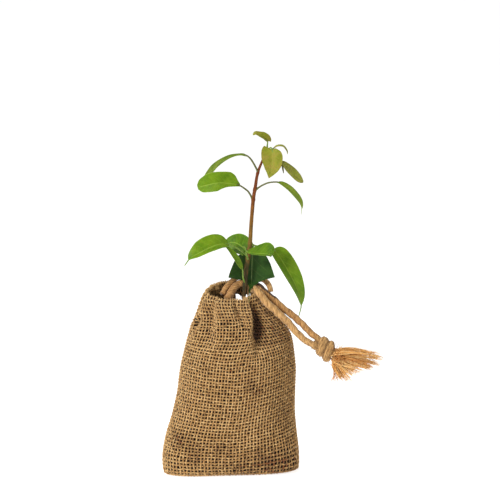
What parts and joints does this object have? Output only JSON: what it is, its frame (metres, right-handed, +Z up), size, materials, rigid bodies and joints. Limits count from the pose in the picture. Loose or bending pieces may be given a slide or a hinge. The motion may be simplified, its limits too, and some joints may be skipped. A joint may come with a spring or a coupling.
{
  "type": "sapling with root ball in a drawstring bag",
  "caption": "Young broad-leaved sapling standing on its root ball in a small gathered bag of woven jute with a knotted drawstring.",
  "frame": {"origin": "middle of the bag's flat underside, where the root ball stands on the ground", "axes": "+Z up along the stem, -Y towards the front of the bag, +X towards the side the drawstring hangs over"},
  "size_m": [0.1613, 0.057, 0.2565],
  "materials": {
    "jute_cloth": "coarse plain-woven natural jute, matt and hairy",
    "jute_string": "twisted natural jute string, matt and fibrous",
    "jute_fray": "loose combed jute fibre, soft golden sheen",
    "soil": "moist crumbly potting soil",
    "fleece": "thin white non-woven root fleece",
    "bark": "thin smooth young bark, reddish brown turning grey-green low down",
    "leaf": "fresh green leaf, satin with pale veins",
    "dark_leaf": "old dark green leaf, waxy satin",
    "young_leaf": "young olive-yellow leaf with a reddish tinge"
  },
  "bodies": {
    "root": {"bag": "jute_cloth", "root_ball": "soil", "root_wrap": "fleece", "stem": "bark", "leaf_upper_left": "leaf", "stalk_upper_left": "leaf", "leaf_middle_left": "leaf", "stalk_middle_left": "leaf", "leaf_middle_right": "leaf", "stalk_middle_right": "leaf", "leaf_lower_left": "leaf", "stalk_lower_left": "leaf", "leaf_lower_back": "leaf", "stalk_lower_back": "leaf", "leaf_lower_small": "leaf", "stalk_lower_small": "leaf", "leaf_lower_front": "leaf", "stalk_lower_front": "leaf", "leaf_lower_right": "leaf", "stalk_lower_right": "leaf", "leaf_dark_hanging": "dark_leaf", "stalk_dark_hanging": "dark_leaf", "leaf_young_heart": "young_leaf", "stalk_young_heart": "young_leaf", "leaf_young_top": "young_leaf", "stalk_young_top": "young_leaf", "leaf_young_right": "young_leaf", "stalk_young_right": "young_leaf", "leaf_young_curled": "young_leaf", "stalk_young_curled": "young_leaf", "drawstring_front": "jute_string", "drawstring_back": "jute_string", "drawstring_loop": "jute_string", "knot": "jute_string", "tassel": "jute_fray"}
  },
  "joints": []
}
